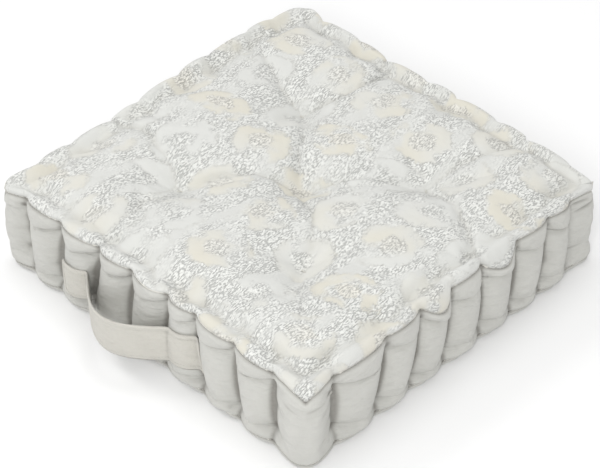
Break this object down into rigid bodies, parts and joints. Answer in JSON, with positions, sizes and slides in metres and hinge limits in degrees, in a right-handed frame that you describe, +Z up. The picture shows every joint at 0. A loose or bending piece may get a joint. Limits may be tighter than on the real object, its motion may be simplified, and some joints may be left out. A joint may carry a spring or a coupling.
{
  "type": "floor cushion",
  "caption": "Square boxed floor cushion with a tufted jacquard top, a quilted canvas side band and a carrying strap sewn to one side.",
  "frame": {"origin": "under the middle of the whole cushion with its strap, on the plane that the underside rests on", "axes": "+Z up through the cushion's thickness, -Y towards the side that carries the strap, +X to the right when facing that side"},
  "size_m": [0.459, 0.4942, 0.1126],
  "materials": {
    "jacquard": "looped chenille jacquard, white ground with cream figures, matte",
    "canvas": "plain off-white cotton canvas, matte",
    "strap_canvas": "doubled off-white cotton canvas, topstitched, matte",
    "wadding": "loose fibre wadding",
    "twine": "waxed cotton twine",
    "thread": "cotton sewing thread"
  },
  "bodies": {
    "root": {"top_panel": "jacquard", "side_band": "canvas", "bottom_panel": "canvas", "filling": "wadding", "tuft_tie_centre": "twine", "tuft_tie_front_left": "twine", "tuft_tie_front_right": "twine", "tuft_tie_back_left": "twine", "tuft_tie_back_right": "twine", "side_twine_front_upper": "twine", "side_twine_front_lower": "twine", "side_twine_right_upper": "twine", "side_twine_right_lower": "twine", "side_twine_back_upper": "twine", "side_twine_back_lower": "twine", "side_twine_left_upper": "twine", "side_twine_left_lower": "twine", "top_seam_thread": "thread", "bottom_seam_thread": "thread", "strap_end_left": "strap_canvas", "strap_end_right": "strap_canvas", "strap_stitch_left": "thread", "strap_stitch_right": "thread"},
    "handle": {"strap_loop": "strap_canvas"}
  },
  "joints": [
    {"name": "strap_swing", "type": "hinge", "parent": "root", "child": "handle", "pos_m": [-0.0211, -0.2139, 0.051], "axis": [-0.9981, 0, -0.061], "range_deg": [-20, 30]}
  ]
}
